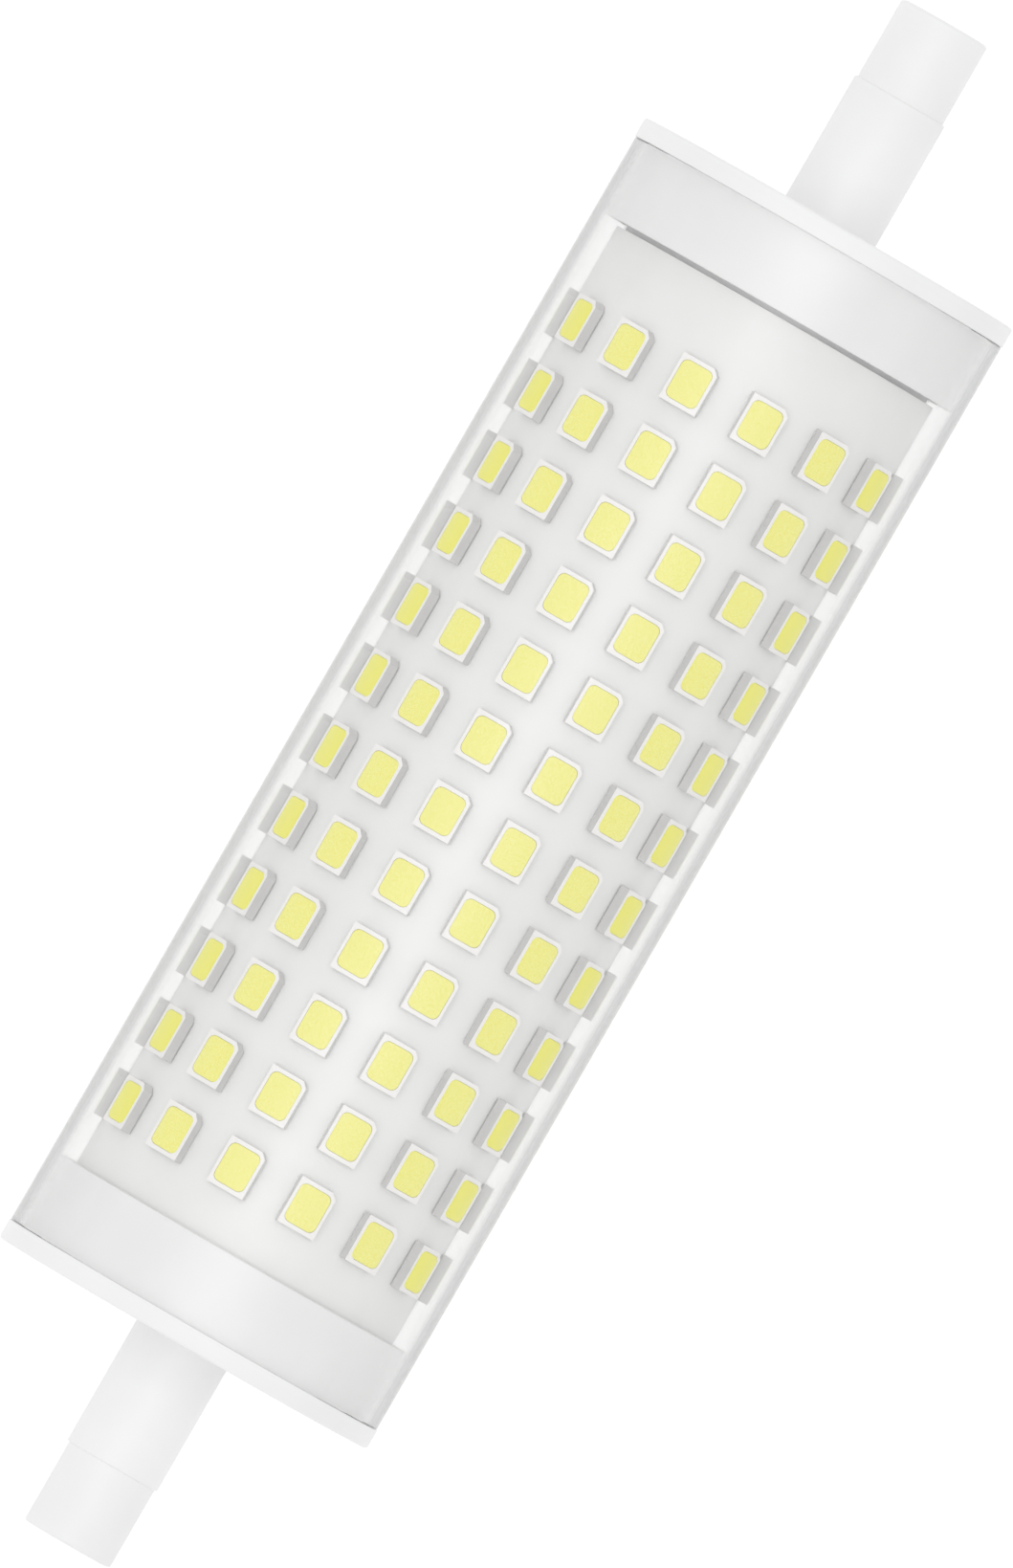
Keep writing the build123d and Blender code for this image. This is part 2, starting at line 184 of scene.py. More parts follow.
class LampColours(PropertyGroup):
    """Colours of the lamp's finishes."""

    cap: colour("Caps", "Moulded plastic of the two caps", (0.9, 0.9, 0.9))
    board: colour("Board", "White mask of the rolled board", (0.9, 0.9, 0.892))
    housing: colour("LED rim", "White rim round the window of an LED", (0.955, 0.94, 0.92))
    # Painted shade: the rim's white plastic greyed on the walls, where they turn away from the light above
    housing_wall_shade: colour("LED walls", "Greyer side walls of an LED's housing", (0.655, 0.65, 0.64))
    phosphor: colour("Phosphor", "Yellow fill of the LEDs", (0.97, 0.955, 0.35))
    phosphor_deep: colour("Phosphor, deep", "Phosphor where its grains lie thick", (0.92, 0.88, 0.22))
    phosphor_slant: colour("Phosphor, slanted", "Phosphor where it is seen at a slant", (0.98, 0.95, 0.1))
    glass: colour("Glass", "Tint of the clear tube", (0.985, 0.985, 0.983))
    # Painted shade: the grey that the tube's outer skin is darkened to where it is seen edge-on
    glass_edge_shade: colour("Glass edge", "Tint of the clear tube where it is seen edge-on", (0.28, 0.28, 0.28))
    nickel: colour("Nickel", "Plating of the contacts and pins", (0.62, 0.6, 0.56))
    brass: colour("Brass", "Metal where the plating is worn", (0.62, 0.5, 0.3))
    mask: colour("Driver board", "Solder mask of the driver board", (0.03, 0.19, 0.075))
    track: colour("Tracks", "Tracks under the solder mask", (0.06, 0.3, 0.12))
    epoxy: colour("Black epoxy", "Moulded bodies of the chips", (0.03, 0.03, 0.033))
    sleeve: colour("Capacitor sleeve", "Sleeve of the storage capacitor", (0.02, 0.03, 0.09))
    stripe: colour("Capacitor stripe", "Pale stripe along the storage capacitor", (0.55, 0.56, 0.6))
    film: colour("Film capacitor", "Cast case of the film capacitor", (0.45, 0.06, 0.035))
    copper: colour("Winding", "Varnished copper of the choke", (0.5, 0.19, 0.07))
    fuse: colour("Fuse", "Moulded case of the fuse", (0.045, 0.045, 0.05))
    insulation: colour("Leads", "Insulation of the contact leads", (0.8, 0.76, 0.66))


class LampStage(PropertyGroup):
    """Camera, light and floor."""

    lens: FloatProperty(
        name="Lens", description="Focal length of the camera in millimetres", default=1100.0, min=50.0
    )
    picture_height: length("Picture height", "Height of the picture at the lamp's axis", 105.31)
    aside: FloatProperty(
        name="Aside", description="How far right of the lamp's centre the picture's centre lies",
        default=0.03 * MM, unit="LENGTH",
    )
    below: FloatProperty(
        name="Below", description="How far below the lamp's centre the picture's centre lies",
        default=0.05 * MM, unit="LENGTH",
    )
    turn: FloatProperty(
        name="Turn", description="Turn of the camera about the vertical",
        default=math.radians(-60.0), subtype="ANGLE",
    )
    sky: share("Sky", "Light of the surroundings on the lamp", 0.8)
    sheen: share("Sheen", "How much brighter the surroundings straight above are mirrored", 0.75, 10.0)
    zenith: share("Zenith", "How closely the brighter surroundings keep to straight above", 9.0, 50.0)
    front: share("Front lamp", "Power of the large soft lamp above, in watts", 10.5, 100.0)
    key: share("Key lamp", "Power of the lamp towards the lower left end, in watts", 0.35, 100.0)
    floor_colour: share("Floor colour", "Grey of the floor that takes the shadow", 0.3)
    floor_return: share("Floor return", "Grey of the floor for the light that it sends back", 0.85)
    floor_bounce: share("Floor bounce", "Glow of the floor that lights the lamp from below", 0.2)
    floor_glow: share("Floor glow", "How much of the floor's white is its own, for the camera", 0.8, 2.0)
    floor_reach: length("Floor reach", "From the lamp's centre to the sides of the floor", 3000.0)


def rounded_outline(points, radii, steps=6):
    """Points of a closed outline whose corners are arcs.

    Each corner is replaced by the arc that touches both its sides: it begins and ends at radius / tan(half
    the inner angle) from the corner, and its centre lies on the bisector at radius / sin(half the angle).
    """
    corners = np.asarray(points, dtype=float)
    radii = np.asarray(radii, dtype=float)
    before = np.roll(corners, 1, axis=0) - corners
    after = np.roll(corners, -1, axis=0) - corners
    before /= np.linalg.norm(before, axis=1, keepdims=True)
    after /= np.linalg.norm(after, axis=1, keepdims=True)
    half = np.arccos(np.clip((before * after).sum(axis=1), -1.0, 1.0)) / 2
    middle = before + after
    middle /= np.linalg.norm(middle, axis=1, keepdims=True)
    reach = (radii / np.tan(half))[:, None]
    centre = corners + middle * (radii / np.sin(half))[:, None]
    start = corners + before * reach - centre
    sweep = (math.pi - 2 * half) * np.sign(before[:, 1] * after[:, 0] - before[:, 0] * after[:, 1])
    angle = sweep[:, None] * np.linspace(0.0, 1.0, steps)
    x = start[:, :1] * np.cos(angle) - start[:, 1:] * np.sin(angle)
    y = start[:, :1] * np.sin(angle) + start[:, 1:] * np.cos(angle)
    arcs = centre[:, None, :] + np.stack([x, y], axis=2)
    sharp = radii == 0
    arcs[sharp] = corners[sharp][:, None, :]
    return arcs.reshape(-1, 2)


def grid_faces(rows, columns, rows_closed, columns_closed):
    """Quads of a grid of points, numbered row by row, which may close on itself either way."""
    row = np.arange(rows if rows_closed else rows - 1)
    column = np.arange(columns if columns_closed else columns - 1)
    row, column = np.meshgrid(row, column, indexing="ij")
    next_row = (row + 1) % rows
    next_column = (column + 1) % columns
    quads = np.stack(
        [row * columns + column, row * columns + next_column, next_row * columns + next_column,
         next_row * columns + column], axis=2
    )
    return quads.reshape(-1, 4)


def turned(outline, steps):
    """Points and quads of a closed outline of (x, radius) carried once round the X axis.

    A point at angle a is (x, -radius * sin a, radius * cos a).
    """
    angle = np.linspace(0.0, 2 * math.pi, steps, endpoint=False)[:, None]
    x = np.broadcast_to(outline[:, 0], (steps, len(outline)))
    radius = outline[:, 1]
    points = np.stack([x, -radius * np.sin(angle), radius * np.cos(angle)], axis=2)
    return points.reshape(-1, 3), grid_faces(steps, len(outline), True, True)


def drawn_out(outline, start, end):
    """Points and faces of a closed outline of (y, z) drawn out straight along X, with both ends closed."""
    count = len(outline)
    ends = [np.column_stack([np.full(count, x), outline]) for x in (start, end)]
    cover = np.arange(count)[None, :]
    return np.concatenate(ends), [grid_faces(2, count, False, True), cover, cover + count]


def joined(parts):
    """Points and face arrays of several (points, face arrays) as one set."""
    points = []
    faces = []
    first = 0
    for part_points, part_faces in parts:
        points.append(part_points)
        faces.extend(array + first for array in part_faces)
        first += len(part_points)
    return np.concatenate(points), faces


def make_piece(name, points, faces, finish, nodes, sharp_angle=35.0, wall_shade_marks=None):
    """Makes one piece of the lamp from points and face arrays, in place of the named nodes of the frame.

    Marks are one number a face, kept as a face attribute; they pick the housing walls that get painted shade.
    """
    mesh = bpy.data.meshes.new(name)
    mesh.from_pydata(np.asarray(points), [], [face for array in faces for face in array.tolist()])
    if wall_shade_marks is not None:
        mesh.attributes.new(WALL_SHADE_MARK, "FLOAT", "FACE").data.foreach_set("value", wall_shade_marks)
    shell = bmesh.new()
    shell.from_mesh(mesh)
    bmesh.ops.remove_doubles(shell, verts=shell.verts, dist=SAME_POINT)
    bmesh.ops.recalc_face_normals(shell, faces=shell.faces)
    shell.to_mesh(mesh)
    shell.free()
    mesh.shade_smooth()
    mesh.set_sharp_from_angle(angle=math.radians(sharp_angle))
    mesh.materials.append(finish)
    piece = bpy.data.objects.new(name, mesh)
    bpy.context.scene.collection.objects.link(piece)
    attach(piece, "root")
    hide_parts(*nodes)
    return piece


class Finish:
    """A material whose nodes are added one call at a time round one shader."""

    def __init__(self, name):
        self.material = bpy.data.materials.new(name)
        self.material.use_nodes = True
        self.tree = self.material.node_tree
        self.tree.nodes.clear()
        self.output = self.add("ShaderNodeOutputMaterial")
        self.shader = self.add("ShaderNodeBsdfPrincipled")
        self.link(self.shader.outputs["BSDF"], self.output.inputs["Surface"])
        self.place = self.add("ShaderNodeTexCoord").outputs["Object"]

    def add(self, kind, **settings):
        """A new node with the given settings."""
        node = self.tree.nodes.new(kind)
        for setting, value in settings.items():
            setattr(node, setting, value)
        return node

    def link(self, source, target):
        """Joins an output to an input."""
        self.tree.links.new(source, target)

    def drive(self, name, source):
        """Lets an output drive one of the shader's inputs."""
        self.link(source, self.shader.inputs[name])

    def set(self, **values):
        """Plain values on the shader's own inputs, with _ for each space in their names."""
        for name, value in values.items():
            self.shader.inputs[name.replace("_", " ")].default_value = value

    def noise(self, scale, detail=2.0):
        """Noise over the object's own coordinates, scale being its cells a metre."""
        texture = self.add("ShaderNodeTexNoise")
        texture.inputs["Scale"].default_value = scale
        texture.inputs["Detail"].default_value = detail
        self.link(self.place, texture.inputs["Vector"])
        return texture.outputs["Fac"]

    def between(self, factor, first, second):
        """The colour that a factor picks between two."""
        mix = self.add("ShaderNodeMix", data_type="RGBA")
        mix.inputs["A"].default_value = (*first, 1.0)
        mix.inputs["B"].default_value = (*second, 1.0)
        self.link(factor, mix.inputs["Factor"])
        return mix.outputs["Result"]

    def blended(self, factor, first, second):
        """The colour that a factor picks between two that vary themselves."""
        mix = self.add("ShaderNodeMix", data_type="RGBA")
        self.link(first, mix.inputs["A"])
        self.link(second, mix.inputs["B"])
        self.link(factor, mix.inputs["Factor"])
        return mix.outputs["Result"]

    def ranged(self, factor, low, high, from_low=0.3, from_high=0.7):
        """A factor spread over a range of values; most of a noise lies between the ends given here."""
        spread = self.add("ShaderNodeMapRange")
        spread.inputs["From Min"].default_value = from_low
        spread.inputs["From Max"].default_value = from_high
        spread.inputs["To Min"].default_value = low
        spread.inputs["To Max"].default_value = high
        self.link(factor, spread.inputs["Value"])
        return spread.outputs["Result"]

    def vary(self, first, second, scale, roughness, grain_scale, grain_height):
        """Colour that drifts between two near ones, a roughness that drifts with it, and a fine grain."""
        drift = self.noise(scale)
        self.drive("Base Color", self.between(self.ranged(drift, 0.0, 1.0), first, second))
        self.drive("Roughness", self.ranged(drift, *roughness))
        self.bump(self.noise(grain_scale, detail=3.0), grain_height)

    def bump(self, height, distance):
        """Relief of the given height in metres."""
        relief = self.add("ShaderNodeBump")
        relief.inputs["Distance"].default_value = distance
        relief.inputs["Strength"].default_value = 1.0
        self.link(height, relief.inputs["Height"])
        self.drive("Normal", relief.outputs["Normal"])


def darker(tone, factor):
    """A colour times a factor."""
    return tuple(channel * factor for channel in tone)


def grey(value):
    """An opaque grey, from 0 for black to 1 for white."""
    return (value, value, value, 1.0)


def cap_finish(colours):
    """White moulded plastic with a satin skin and a faint flow of tone."""
    finish = Finish("cap_plastic")
    finish.vary(colours.cap, darker(colours.cap, 0.965), scale=160.0, roughness=(0.36, 0.46),
                grain_scale=9000.0, grain_height=1.5e-6)
    finish.set(IOR=1.5)
    return finish.material


def board_finish(colours):
    """White solder mask: a little uneven, with a fine orange-peel skin."""
    finish = Finish("board_white")
    finish.vary(colours.board, darker(colours.board, 0.97), scale=240.0, roughness=(0.42, 0.55),
                grain_scale=5200.0, grain_height=2.0e-6)
    return finish.material


def housing_finish(colours):
    """Moulded polymer of the LED housings: white on the rim, with painted shade that greys the side walls."""
    finish = Finish("led_housing_white")
    drift = finish.ranged(finish.noise(900.0), 0.0, 1.0)
    rim = finish.between(drift, colours.housing, darker(colours.housing, 0.97))
    # Painted shade: a greyer copy of the white plastic for the side walls
    wall = finish.between(drift, colours.housing_wall_shade, darker(colours.housing_wall_shade, 0.95))
    marked = finish.add("ShaderNodeAttribute", attribute_name=WALL_SHADE_MARK)
    finish.drive("Base Color", finish.blended(marked.outputs["Fac"], rim, wall))
    finish.drive("Roughness", finish.ranged(drift, 0.34, 0.46, from_low=0.0, from_high=1.0))
    finish.bump(finish.noise(14000.0, detail=3.0), 1.0e-6)
    return finish.material


def phosphor_finish(colours):
    """Cast silicone full of phosphor grains, deeper in colour where it is seen at a slant."""
    finish = Finish("phosphor_yellow")
    grains = finish.noise(7000.0, detail=3.0)
    depth = finish.ranged(grains, 0.0, 1.0)
    tone = finish.between(depth, colours.phosphor, colours.phosphor_deep)
    slanted = finish.between(depth, colours.phosphor_slant, darker(colours.phosphor_slant, 0.95))
    facing = finish.add("ShaderNodeLayerWeight").outputs["Facing"]
    slant = finish.ranged(facing, 0.0, 1.0, from_low=0.15, from_high=0.6)
    finish.drive("Base Color", finish.blended(slant, tone, slanted))
    finish.drive("Roughness", finish.ranged(finish.noise(1800.0), 0.28, 0.4))
    finish.set(Specular_IOR_Level=0.08)
    finish.bump(grains, 3.0e-6)
    return finish.material


def glass_finish(colours, wall_middle):
    """Clear glass that refracts what is seen through it, and lets lamp light and soft light straight through.

    wall_middle is the radius halfway through its wall; the skin beyond it gets painted shade where it is seen
    edge-on.
    """
    finish = Finish("clear_glass")
    finish.set(Roughness=0.0, IOR=1.5, Transmission_Weight=1.0)
    # Painted shade: the outer skin darkens where it is seen at a slant, slowly at first and then quickly at
    # the tube's edges, in place of the dark lines that refraction of shade gives there
    slant = finish.add("ShaderNodeValToRGB")
    steps = slant.color_ramp.elements
    steps.remove(steps[0])
    steps[0].position, steps[0].color = 1.0, grey(1.0)
    for position, darkness in GLASS_SLANT_SHADE:
        steps.new(position).color = grey(darkness)
    finish.link(finish.add("ShaderNodeLayerWeight").outputs["Facing"], slant.inputs["Fac"])
    across = finish.add("ShaderNodeVectorMath", operation="MULTIPLY")
    across.inputs[1].default_value = (0.0, 1.0, 1.0)
    finish.link(finish.place, across.inputs[0])
    radius = finish.add("ShaderNodeVectorMath", operation="LENGTH")
    finish.link(across.outputs["Vector"], radius.inputs[0])
    outside = finish.add("ShaderNodeMath", operation="GREATER_THAN")
    outside.inputs[1].default_value = wall_middle
    finish.link(radius.outputs["Value"], outside.inputs[0])
    edge = finish.add("ShaderNodeMath", operation="MULTIPLY")
    finish.link(slant.outputs["Color"], edge.inputs[0])
    finish.link(outside.outputs["Value"], edge.inputs[1])
    finish.drive("Base Color", finish.between(edge.outputs["Value"], colours.glass, colours.glass_edge_shade))
    path = finish.add("ShaderNodeLightPath")
    passing = finish.add("ShaderNodeMath", operation="MAXIMUM")
    finish.link(path.outputs["Is Shadow Ray"], passing.inputs[0])
    finish.link(path.outputs["Is Diffuse Ray"], passing.inputs[1])
    clear = finish.add("ShaderNodeBsdfTransparent")
    clear.inputs["Color"].default_value = grey(GLASS_CLEARNESS)
    mix = finish.add("ShaderNodeMixShader")
    finish.link(passing.outputs["Value"], mix.inputs["Fac"])
    finish.link(finish.shader.outputs["BSDF"], mix.inputs[1])
    finish.link(clear.outputs["BSDF"], mix.inputs[2])
    finish.link(mix.outputs["Shader"], finish.output.inputs["Surface"])
    return finish.material


def contact_finish(colours):
    """Nickel plate with fine turning marks round the X axis and brass showing through where it is rubbed."""
    finish = Finish("contact_metal")
    worn = finish.ranged(finish.noise(900.0, detail=4.0), 0.0, 1.0, from_low=0.55, from_high=0.8)
    finish.drive("Base Color", finish.between(worn, colours.nickel, colours.brass))
    rings = finish.add("ShaderNodeTexWave", wave_type="RINGS", rings_direction="X")
    rings.inputs["Scale"].default_value = 2500.0
    rings.inputs["Distortion"].default_value = 0.6
    finish.link(finish.place, rings.inputs["Vector"])
    finish.drive("Roughness", finish.ranged(rings.outputs["Fac"], 0.22, 0.36, from_low=0.0, from_high=1.0))
    finish.bump(rings.outputs["Fac"], 1.5e-6)
    finish.set(Metallic=1.0)
    return finish.material


def mask_finish(colours):
    """Green solder mask over straight tracks."""
    finish = Finish("driver_board_green")
    tracks = finish.add("ShaderNodeTexBrick", offset=0.37)
    tracks.inputs["Scale"].default_value = 120.0
    tracks.inputs["Mortar Size"].default_value = 0.035
    tracks.inputs["Brick Width"].default_value = 1.7
    tracks.inputs["Row Height"].default_value = 0.15
    finish.link(finish.place, tracks.inputs["Vector"])
    finish.drive("Base Color", finish.between(tracks.outputs["Fac"], colours.mask, colours.track))
    finish.drive("Roughness", finish.ranged(finish.noise(400.0), 0.25, 0.4))
    finish.bump(tracks.outputs["Fac"], 2.0e-5)
    return finish.material


def sleeve_finish(colours):
    """Dark shrunk sleeve with one pale stripe along the capacitor."""
    finish = Finish("capacitor_sleeve")
    split = finish.add("ShaderNodeSeparateXYZ")
    finish.link(finish.place, split.inputs["Vector"])
    stripe = finish.ranged(split.outputs["Y"], 0.0, 1.0, from_low=3.0 * MM, from_high=3.05 * MM)
    finish.drive("Base Color", finish.between(stripe, colours.sleeve, colours.stripe))
    finish.drive("Roughness", finish.ranged(finish.noise(500.0), 0.25, 0.38))
    finish.bump(finish.noise(2500.0), 4.0e-6)
    return finish.material


def winding_finish(colours):
    """Turns of varnished copper wire round the choke, with painted shade in the grooves between them."""
    finish = Finish("winding_varnish")
    turns = finish.add("ShaderNodeTexWave", wave_type="BANDS", bands_direction="X")
    turns.inputs["Scale"].default_value = 640.0
    turns.inputs["Distortion"].default_value = 0.3
    finish.link(finish.place, turns.inputs["Vector"])
    # Painted shade in the grooves between the turns
    shade_between_turns = darker(colours.copper, 0.35)
    finish.drive("Base Color", finish.between(turns.outputs["Fac"], shade_between_turns, colours.copper))
    finish.drive("Roughness", finish.ranged(finish.noise(900.0), 0.22, 0.38))
    finish.bump(turns.outputs["Fac"], 6.0e-5)
    finish.set(Metallic=0.6)
    return finish.material


def plain_finish(name, tone, roughness, grain_height):
    """Moulded or dipped plastic of a hidden part."""
    finish = Finish(name)
    finish.vary(tone, darker(tone, 0.85), scale=700.0, roughness=roughness,
                grain_scale=6000.0, grain_height=grain_height)
    return finish.material


def cap_outline(sizes, tube_end):
    """Outline of a cap as (x, radius), from the contact's bore round skirt, flange, stem, tip and recess."""
    flange_outer = tube_end + sizes.flange_thickness
    stem_end = flange_outer + sizes.stem_length
    tip_end = stem_end + sizes.tip_length
    skirt_end = tube_end - sizes.skirt_depth
    recess_floor = tip_end - sizes.recess_depth
    contact_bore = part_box("contact_right")[1].z + sizes.contact_clearance
    tube_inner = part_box("clear_tube")[1].z - sizes.tube_wall
    skirt_outer = tube_inner - sizes.skirt_clearance
    skirt_inner = skirt_outer - sizes.skirt_wall
    corners = [
        (tube_end, contact_bore),
        (tube_end, skirt_inner),
        (skirt_end, skirt_inner),
        (skirt_end, skirt_outer),
        (tube_end, skirt_outer),
        (tube_end, sizes.flange_diameter / 2),
        (flange_outer, sizes.flange_diameter / 2),
        (flange_outer, sizes.stem_diameter / 2),
        (stem_end, sizes.stem_diameter / 2),
        (stem_end, sizes.tip_diameter / 2),
        (tip_end, sizes.tip_diameter / 2),
        (tip_end, sizes.recess_diameter / 2),
        (recess_floor, sizes.recess_diameter / 2),
        (recess_floor, contact_bore),
    ]
    radii = [
        0.0, 0.0, sizes.skirt_edge, sizes.skirt_edge, 0.0, sizes.skirt_edge / 2, sizes.flange_edge,
        sizes.stem_foot, sizes.shoulder_edge, 0.0, sizes.tip_edge, sizes.mouth_edge, 0.0, 0.0,
    ]
    return rounded_outline(corners, radii)


def spigot_outline(sizes):
    """Outline of the spigot as (y, z): an arc under the rolled board, flat-sided inside, with two slots.

    The inside is an octagon whose corners lie on one circle, so its flats lie at that radius times the
    cosine of an eighth of half a turn, and its corners at the sine of it.
    """
    board_low, board_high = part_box("driver_board")
    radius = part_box("led_board")[1].z - sizes.board_thickness - sizes.spigot_clearance
    foot = (board_low.z + board_high.z) / 2 - sizes.spigot_foot_drop
    start = math.asin(foot / radius)
    angle = np.linspace(start, math.pi - start, sizes.round_steps // 2)
    arc = np.column_stack([radius * np.cos(angle), radius * np.sin(angle)])
    flat = (radius - sizes.spigot_corner_wall) * math.cos(math.pi / 8)
    corner = (radius - sizes.spigot_corner_wall) * math.sin(math.pi / 8)
    slot_back = math.sqrt(radius**2 - board_low.z**2) - sizes.slot_back_wall
    slot_low, slot_high = board_low.z - sizes.slot_clearance, board_high.z + sizes.slot_clearance
    right = np.array([
        (corner, flat), (flat, corner), (flat, slot_high), (slot_back, slot_high),
        (slot_back, slot_low), (flat, slot_low), (flat, foot),
    ])
    return np.concatenate([arc, right[::-1] * (-1.0, 1.0), right])


def ring_of_corners(half_length, half_width, rounding, cut=None, steps=4):
    """Closed ring round a rectangle, steps points a corner: arcs, or a straight cut at the +x, -y corner."""
    turn = np.linspace(0.0, math.pi / 2, steps)
    corners = []
    for quarter, (side, way) in enumerate(((1, 1), (-1, 1), (-1, -1), (1, -1))):
        angle = turn + quarter * math.pi / 2
        centre = (side * (half_length - rounding), way * (half_width - rounding))
        corners.append(np.column_stack([np.cos(angle), np.sin(angle)]) * rounding + centre)
    if cut is not None:
        along = np.linspace(0.0, cut, steps)
        corners[3] = np.column_stack([half_length - cut + along, -half_width + along])
    return np.concatenate(corners)


def stacked(rings, heights):
    """Points and faces of rings laid one above the other, closed at the first ring and at the last."""
    count = len(rings[0])
    points = [np.column_stack([ring, np.full(count, height)]) for ring, height in zip(rings, heights)]
    top = np.arange(count) + (len(rings) - 1) * count
    faces = [grid_faces(len(rings), count, False, True), np.arange(count)[None, :], top[None, :]]
    return np.concatenate(points), faces


def led_sizes(sizes):
    """Sizes of one LED, from the boxes of the column at the back, which lies square to the frame."""
    low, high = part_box("led_housings_08")
    fill_low, fill_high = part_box("led_phosphor_08")
    span = (sizes.led_rows - 1) * sizes.led_pitch
    from_middle = np.arange(sizes.led_rows) - (sizes.led_rows - 1) / 2
    return {
        "half_length": (high.x - low.x - span) / 2,
        "half_width": (high.y - low.y) / 2,
        "window_half_length": (fill_high.x - fill_low.x - span) / 2,
        "window_half_width": (fill_high.y - fill_low.y) / 2,
        "seat": -high.z,
        "height": high.z - low.z,
        "pocket": fill_high.z - low.z,
        "fill_top": -fill_low.z,
        "rows": (low.x + high.x) / 2 + sizes.led_pitch * from_middle,
    }


def housing_shape(sizes, led):
    """Points and faces of one housing, its seat at height zero: walls, bevelled top, window and pocket."""
    lip = sizes.window_lip
    top_length = led["half_length"] - sizes.led_draft
    top_width = led["half_width"] - sizes.led_draft
    inset = sizes.led_edge
    rings = [
        ring_of_corners(led["half_length"], led["half_width"], sizes.led_corner, sizes.led_cut),
        ring_of_corners(top_length, top_width, sizes.led_corner, sizes.led_cut),
        ring_of_corners(top_length - inset, top_width - inset, sizes.led_corner, sizes.led_cut - inset / 2),
        ring_of_corners(led["window_half_length"] + lip, led["window_half_width"] + lip, sizes.window_corner),
        ring_of_corners(led["window_half_length"], led["window_half_width"], sizes.window_corner),
    ]
    height = led["height"]
    return stacked(rings, [0.0, height - inset, height, height, height - led["pocket"]])


def phosphor_shape(sizes, led):
    """Points and faces of one fill, seat at height zero: it climbs a little at the walls of its pocket."""
    top = led["fill_top"] - led["seat"]
    floor = led["height"] - led["pocket"]
    half_length, half_width = led["window_half_length"], led["window_half_width"]
    outer = ring_of_corners(half_length, half_width, sizes.window_corner)
    rings = [outer, outer] + [outer * size for size, _ in FILL_RINGS]
    heights = [floor, top] + [top - sizes.phosphor_dip * dip for _, dip in FILL_RINGS]
    return stacked(rings, heights)


def column_of(shape, led, angle):
    """A shape repeated at each row of a column, and the column turned by angle about the X axis.

    A point (x, y, height) of the shape goes to (row + x, y, seat + height) and then round the axis.
    """
    points, faces = shape
    x = (led["rows"][:, None] + points[:, 0]).ravel()
    y = np.tile(points[:, 1], len(led["rows"]))
    z = np.tile(points[:, 2], len(led["rows"])) + led["seat"]
    turned_points = np.column_stack(
        [x, y * math.cos(angle) - z * math.sin(angle), y * math.sin(angle) + z * math.cos(angle)]
    )
    first = np.arange(len(led["rows"])) * len(points)
    repeated = [(array[None, :, :] + first[:, None, None]).reshape(-1, array.shape[1]) for array in faces]
    return turned_points, repeated


def wall_shade_faces(shape, led):
    """1 for each face of a column's housings that lies low on them, as their walls do, and 0 for others; the
    marked walls get painted shade.
    """
    points, faces = shape
    low = [points[array][:, :, 2].mean(axis=1) < WALL_SHARE * led["height"] for array in faces]
    return np.concatenate([np.tile(wall_shade_marks, len(led["rows"])) for wall_shade_marks in low]).astype(np.float32)


class LAMP_OT_clear_tube(Operator):
    """Make the clear tube"""

    bl_idname = "lamp.clear_tube"
    bl_label = "Clear tube"

    def execute(self, context):
        sizes = context.scene.lamp_sizes
        low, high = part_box("clear_tube")
        inner = high.z - sizes.tube_wall
        corners = [(low.x, inner), (high.x, inner), (high.x, high.z), (low.x, high.z)]
        points, faces = turned(rounded_outline(corners, [sizes.tube_edge] * 4), 2 * sizes.round_steps)
        glass = glass_finish(context.scene.lamp_colours, high.z - sizes.tube_wall / 2)
        piece = make_piece("tube_of_clear_glass", points, [faces], glass, ["clear_tube"])
        # Narrow flat steps let the light out at the tube's sides, where smoothed ones keep it in the wall
        piece.data.shade_flat()
        return {"FINISHED"}


class LAMP_OT_caps(Operator):
    """Make the two moulded caps"""

    bl_idname = "lamp.caps"
    bl_label = "Caps"

    def execute(self, context):
        sizes = context.scene.lamp_sizes
        cap = cap_finish(context.scene.lamp_colours)
        low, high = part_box("end_cap_right")
        tube_end = high.x - sizes.tip_length - sizes.stem_length - sizes.flange_thickness
        body_points, body_faces = turned(cap_outline(sizes, tube_end), sizes.round_steps)
        spigot = drawn_out(spigot_outline(sizes), low.x, tube_end)
        points, faces = joined([(body_points, [body_faces]), spigot])
        for end, way in ENDS:
            name = f"moulded_cap_{end}"
            piece = make_piece(name, points * (way, way, 1.0), faces, cap, [f"end_cap_{end}"])
        return {"FINISHED"}


class LAMP_OT_contacts(Operator):
    """Make the contact at the bottom of the recess of each tip"""

    bl_idname = "lamp.contacts"
    bl_label = "Contacts"

    def execute(self, context):
        sizes = context.scene.lamp_sizes
        metal = contact_finish(context.scene.lamp_colours)
        low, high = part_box("contact_right")
        radius = high.z
        dimple_mouth = radius * 0.45
        dimple_floor = radius * 0.3
        dimple = high.x - sizes.contact_dimple
        corners = [
            (low.x, 0.0),
            (low.x, radius),
            (high.x, radius),
            (high.x, dimple_mouth),
            (dimple, dimple_floor),
            (dimple, 0.0),
        ]
        edge = sizes.contact_edge
        outline = rounded_outline(corners, [0.0, edge / 2, edge, edge, edge, 0.0])
        points, faces = turned(outline, sizes.round_steps // 3)
        for end, way in ENDS:
            name = f"plated_contact_{end}"
            piece = make_piece(name, points * (way, way, 1.0), [faces], metal, [f"contact_{end}"])
        return {"FINISHED"}


